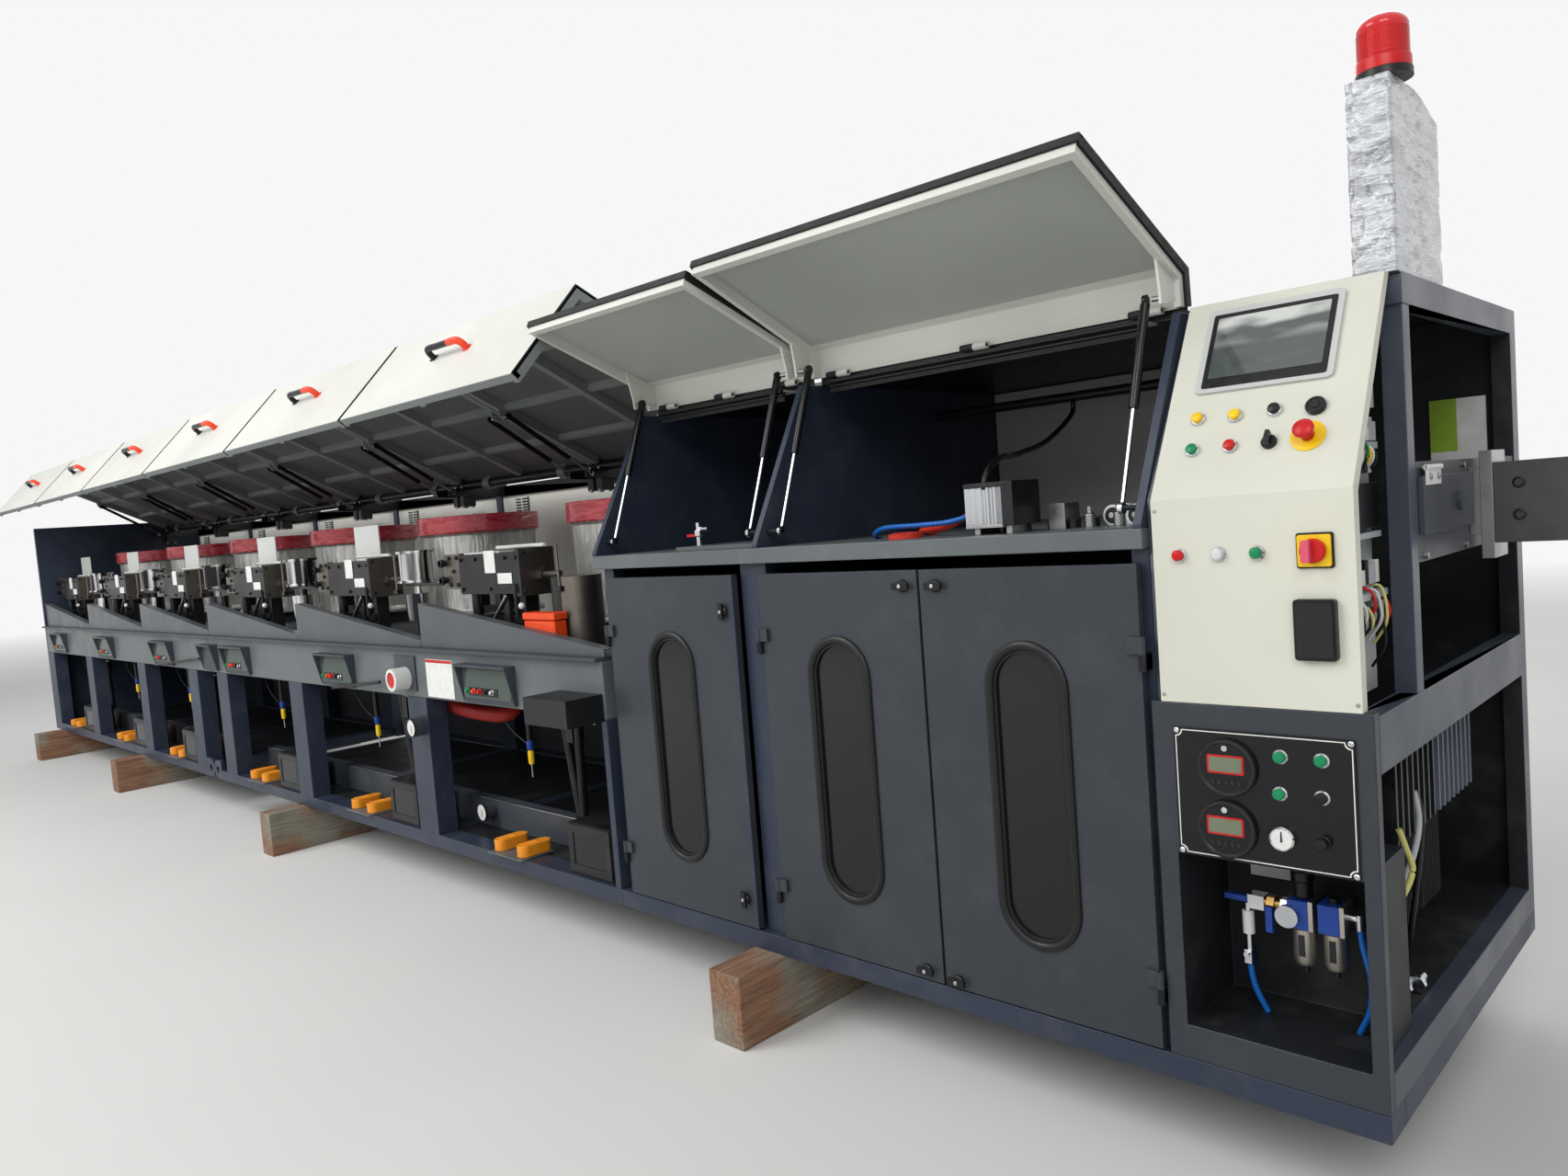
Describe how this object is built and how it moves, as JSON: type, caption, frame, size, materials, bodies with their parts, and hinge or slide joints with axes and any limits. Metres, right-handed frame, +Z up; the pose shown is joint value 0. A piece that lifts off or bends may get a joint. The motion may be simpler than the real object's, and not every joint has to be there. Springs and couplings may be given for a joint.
{
  "type": "wire drawing machine",
  "caption": "Straight-line wire drawing machine: drums under tilting hoods on a steel base, with an enclosure and operator's cabinet at the wire inlet, standing on timber blocks.",
  "frame": {"origin": "centre of the underside of the timber block nearest the middle of the machine, on the floor", "axes": "+X along the machine towards the wire inlet cabinet, +Y from the operator's side to the back, +Z up"},
  "size_m": [10.22, 1.6996, 2.369],
  "materials": {
    "beacon": "translucent",
    "black_steel": "satin",
    "bright_steel": "machined",
    "cream_paint": "satin",
    "drum": "film wrapped with a red rim",
    "heat_sink": "anodised",
    "navy_paint": "satin",
    "pedal": "satin",
    "strut_rod": "polished",
    "strut_tube": "gloss",
    "timber": "rough sawn"
  },
  "bodies": {
    "frame": {"timber_blocks": "timber", "base_sills": "navy_paint", "cross_members": "navy_paint", "frame_posts": "navy_paint", "front_beams": "navy_paint", "rear_panels": "navy_paint", "deck_plates": "navy_paint", "sawtooth_plates": "navy_paint", "drum_pedestals": "navy_paint", "die_stations": "black_steel", "hinge_rail": "black_steel", "vent_panels": "cream_paint", "bay_fittings": "navy_paint", "foot_pedals": "pedal", "side_walls": "navy_paint", "shelf_and_roof": "navy_paint", "take_in_gear": "bright_steel", "hinge_studs": "black_steel", "control_panel": "cream_paint", "cabinet_frame": "navy_paint", "cabinet_front": "navy_paint", "drive_modules": "heat_sink", "panel_controls": "black_steel", "air_unit": "bright_steel", "tower_box": "cream_paint", "beacon": "beacon", "wire_inlet": "bright_steel"},
    "door_1": {"door_1": "navy_paint"},
    "door_2": {"door_2": "navy_paint"},
    "door_3": {"door_3": "navy_paint"},
    "small_hood": {"small_hood": "cream_paint"},
    "small_rods": {"small_hood_rods": "strut_rod"},
    "small_tubes": {"small_hood_tubes": "strut_tube"},
    "large_hood": {"large_hood": "cream_paint"},
    "large_rods": {"large_hood_rods": "strut_rod"},
    "large_tubes": {"large_hood_tubes": "strut_tube"},
    "hood_1": {"hood_1": "cream_paint"},
    "rods_1": {"rods_1": "strut_rod"},
    "tubes_1": {"tubes_1": "strut_tube"},
    "hood_2": {"hood_2": "cream_paint"},
    "rods_2": {"rods_2": "strut_rod"},
    "tubes_2": {"tubes_2": "strut_tube"},
    "hood_3": {"hood_3": "cream_paint"},
    "rods_3": {"rods_3": "strut_rod"},
    "tubes_3": {"tubes_3": "strut_tube"},
    "hood_4": {"hood_4": "cream_paint"},
    "rods_4": {"rods_4": "strut_rod"},
    "tubes_4": {"tubes_4": "strut_tube"},
    "hood_5": {"hood_5": "cream_paint"},
    "rods_5": {"rods_5": "strut_rod"},
    "tubes_5": {"tubes_5": "strut_tube"},
    "hood_6": {"hood_6": "cream_paint"},
    "rods_6": {"rods_6": "strut_rod"},
    "tubes_6": {"tubes_6": "strut_tube"},
    "drum_1": {"drum_1": "drum"},
    "drum_2": {"drum_2": "drum"},
    "drum_3": {"drum_3": "drum"},
    "drum_4": {"drum_4": "drum"},
    "drum_5": {"drum_5": "drum"},
    "drum_6": {"drum_6": "drum"}
  },
  "joints": [
    {"name": "door_1_swing", "type": "hinge", "parent": "frame", "child": "door_1", "pos_m": [2.73, -0.6475, 0.271], "axis": [0, 0, -1], "range_deg": [0, 110]},
    {"name": "door_2_swing", "type": "hinge", "parent": "frame", "child": "door_2", "pos_m": [3.443, -0.6475, 0.271], "axis": [0, 0, -1], "range_deg": [0, 110]},
    {"name": "door_3_swing", "type": "hinge", "parent": "frame", "child": "door_3", "pos_m": [4.591, -0.6475, 0.271], "axis": [0, 0, 1], "range_deg": [0, 110]},
    {"name": "small_hood_tilt", "type": "hinge", "parent": "frame", "child": "small_hood", "pos_m": [3.055, -0.3425, 1.877], "axis": [1, 0, 0], "range_deg": [0, 83.9]},
    {"name": "small_rods_turn", "type": "hinge", "parent": "frame", "child": "small_rods", "pos_m": [3.055, -0.5875, 1.436], "axis": [1, 0, 0], "range_deg": [-12.09, 0]},
    {"name": "small_tubes_slide", "type": "slide", "parent": "small_rods", "child": "small_tubes", "axis": [0, 0.3409, 0.9401], "range_m": [-0.0592, 0]},
    {"name": "large_hood_tilt", "type": "hinge", "parent": "frame", "child": "large_hood", "pos_m": [4.02, -0.3425, 1.877], "axis": [1, 0, 0], "range_deg": [0, 86.9]},
    {"name": "large_rods_turn", "type": "hinge", "parent": "frame", "child": "large_rods", "pos_m": [4.02, -0.5875, 1.436], "axis": [1, 0, 0], "range_deg": [-12.63, 0]},
    {"name": "large_tubes_slide", "type": "slide", "parent": "large_rods", "child": "large_tubes", "axis": [0, 0.3409, 0.9401], "range_m": [-0.058, 0]},
    {"name": "hood_1_tilt", "type": "hinge", "parent": "frame", "child": "hood_1", "pos_m": [2.0375, 0.3585, 1.781], "axis": [1, 0, 0], "range_deg": [0, 42.4]},
    {"name": "rods_1_turn", "type": "hinge", "parent": "frame", "child": "rods_1", "pos_m": [2.0375, 0.2525, 1.746], "axis": [1, 0, 0], "range_deg": [0, 51.91]},
    {"name": "tubes_1_slide", "type": "slide", "parent": "rods_1", "child": "tubes_1", "axis": [0, -0.8473, 0.5311], "range_m": [-0.0348, 0]},
    {"name": "hood_2_tilt", "type": "hinge", "parent": "frame", "child": "hood_2", "pos_m": [0.7725, 0.3585, 1.781], "axis": [1, 0, 0], "range_deg": [0, 42.4]},
    {"name": "rods_2_turn", "type": "hinge", "parent": "frame", "child": "rods_2", "pos_m": [0.7725, 0.2525, 1.746], "axis": [1, 0, 0], "range_deg": [0, 51.91]},
    {"name": "tubes_2_slide", "type": "slide", "parent": "rods_2", "child": "tubes_2", "axis": [0, -0.8473, 0.5311], "range_m": [-0.0348, 0]},
    {"name": "hood_3_tilt", "type": "hinge", "parent": "frame", "child": "hood_3", "pos_m": [-0.4925, 0.3585, 1.781], "axis": [1, 0, 0], "range_deg": [0, 42.4]},
    {"name": "rods_3_turn", "type": "hinge", "parent": "frame", "child": "rods_3", "pos_m": [-0.4925, 0.2525, 1.746], "axis": [1, 0, 0], "range_deg": [0, 51.91]},
    {"name": "tubes_3_slide", "type": "slide", "parent": "rods_3", "child": "tubes_3", "axis": [0, -0.8473, 0.5311], "range_m": [-0.0348, 0]},
    {"name": "hood_4_tilt", "type": "hinge", "parent": "frame", "child": "hood_4", "pos_m": [-1.7575, 0.3585, 1.781], "axis": [1, 0, 0], "range_deg": [0, 42.4]},
    {"name": "rods_4_turn", "type": "hinge", "parent": "frame", "child": "rods_4", "pos_m": [-1.7575, 0.2525, 1.746], "axis": [1, 0, 0], "range_deg": [0, 51.91]},
    {"name": "tubes_4_slide", "type": "slide", "parent": "rods_4", "child": "tubes_4", "axis": [0, -0.8473, 0.5311], "range_m": [-0.0348, 0]},
    {"name": "hood_5_tilt", "type": "hinge", "parent": "frame", "child": "hood_5", "pos_m": [-3.0225, 0.3585, 1.781], "axis": [1, 0, 0], "range_deg": [0, 42.4]},
    {"name": "rods_5_turn", "type": "hinge", "parent": "frame", "child": "rods_5", "pos_m": [-3.0225, 0.2525, 1.746], "axis": [1, 0, 0], "range_deg": [0, 51.91]},
    {"name": "tubes_5_slide", "type": "slide", "parent": "rods_5", "child": "tubes_5", "axis": [0, -0.8473, 0.5311], "range_m": [-0.0348, 0]},
    {"name": "hood_6_tilt", "type": "hinge", "parent": "frame", "child": "hood_6", "pos_m": [-4.2875, 0.3585, 1.781], "axis": [1, 0, 0], "range_deg": [0, 42.4]},
    {"name": "rods_6_turn", "type": "hinge", "parent": "frame", "child": "rods_6", "pos_m": [-4.2875, 0.2525, 1.746], "axis": [1, 0, 0], "range_deg": [0, 51.91]},
    {"name": "tubes_6_slide", "type": "slide", "parent": "rods_6", "child": "tubes_6", "axis": [0, -0.8473, 0.5311], "range_m": [-0.0348, 0]},
    {"name": "drum_1_spin", "type": "hinge", "parent": "frame", "child": "drum_1", "pos_m": [2.0375, 0.0625, 1.115], "axis": [0, 0, 1], "continuous": true},
    {"name": "drum_2_spin", "type": "hinge", "parent": "frame", "child": "drum_2", "pos_m": [0.7725, 0.0625, 1.115], "axis": [0, 0, 1], "continuous": true},
    {"name": "drum_3_spin", "type": "hinge", "parent": "frame", "child": "drum_3", "pos_m": [-0.4925, 0.0625, 1.115], "axis": [0, 0, 1], "continuous": true},
    {"name": "drum_4_spin", "type": "hinge", "parent": "frame", "child": "drum_4", "pos_m": [-1.7575, 0.0625, 1.115], "axis": [0, 0, 1], "continuous": true},
    {"name": "drum_5_spin", "type": "hinge", "parent": "frame", "child": "drum_5", "pos_m": [-3.0225, 0.0625, 1.115], "axis": [0, 0, 1], "continuous": true},
    {"name": "drum_6_spin", "type": "hinge", "parent": "frame", "child": "drum_6", "pos_m": [-4.2875, 0.0625, 1.115], "axis": [0, 0, 1], "continuous": true}
  ],
  "couplings": [
    {"joint": "small_rods_turn", "follows": "small_hood_tilt", "ratio": -0.1381},
    {"joint": "small_tubes_slide", "follows": "small_hood_tilt", "m_per_rad": -0.039772},
    {"joint": "large_rods_turn", "follows": "large_hood_tilt", "ratio": -0.13961},
    {"joint": "large_tubes_slide", "follows": "large_hood_tilt", "m_per_rad": -0.037567},
    {"joint": "rods_1_turn", "follows": "hood_1_tilt", "ratio": 1.2126},
    {"joint": "tubes_1_slide", "follows": "hood_1_tilt", "m_per_rad": -0.045639},
    {"joint": "rods_2_turn", "follows": "hood_2_tilt", "ratio": 1.2126},
    {"joint": "tubes_2_slide", "follows": "hood_2_tilt", "m_per_rad": -0.045639},
    {"joint": "rods_3_turn", "follows": "hood_3_tilt", "ratio": 1.2126},
    {"joint": "tubes_3_slide", "follows": "hood_3_tilt", "m_per_rad": -0.045639},
    {"joint": "rods_4_turn", "follows": "hood_4_tilt", "ratio": 1.2126},
    {"joint": "tubes_4_slide", "follows": "hood_4_tilt", "m_per_rad": -0.045639},
    {"joint": "rods_5_turn", "follows": "hood_5_tilt", "ratio": 1.2126},
    {"joint": "tubes_5_slide", "follows": "hood_5_tilt", "m_per_rad": -0.045639},
    {"joint": "rods_6_turn", "follows": "hood_6_tilt", "ratio": 1.2126},
    {"joint": "tubes_6_slide", "follows": "hood_6_tilt", "m_per_rad": -0.045639}
  ]
}
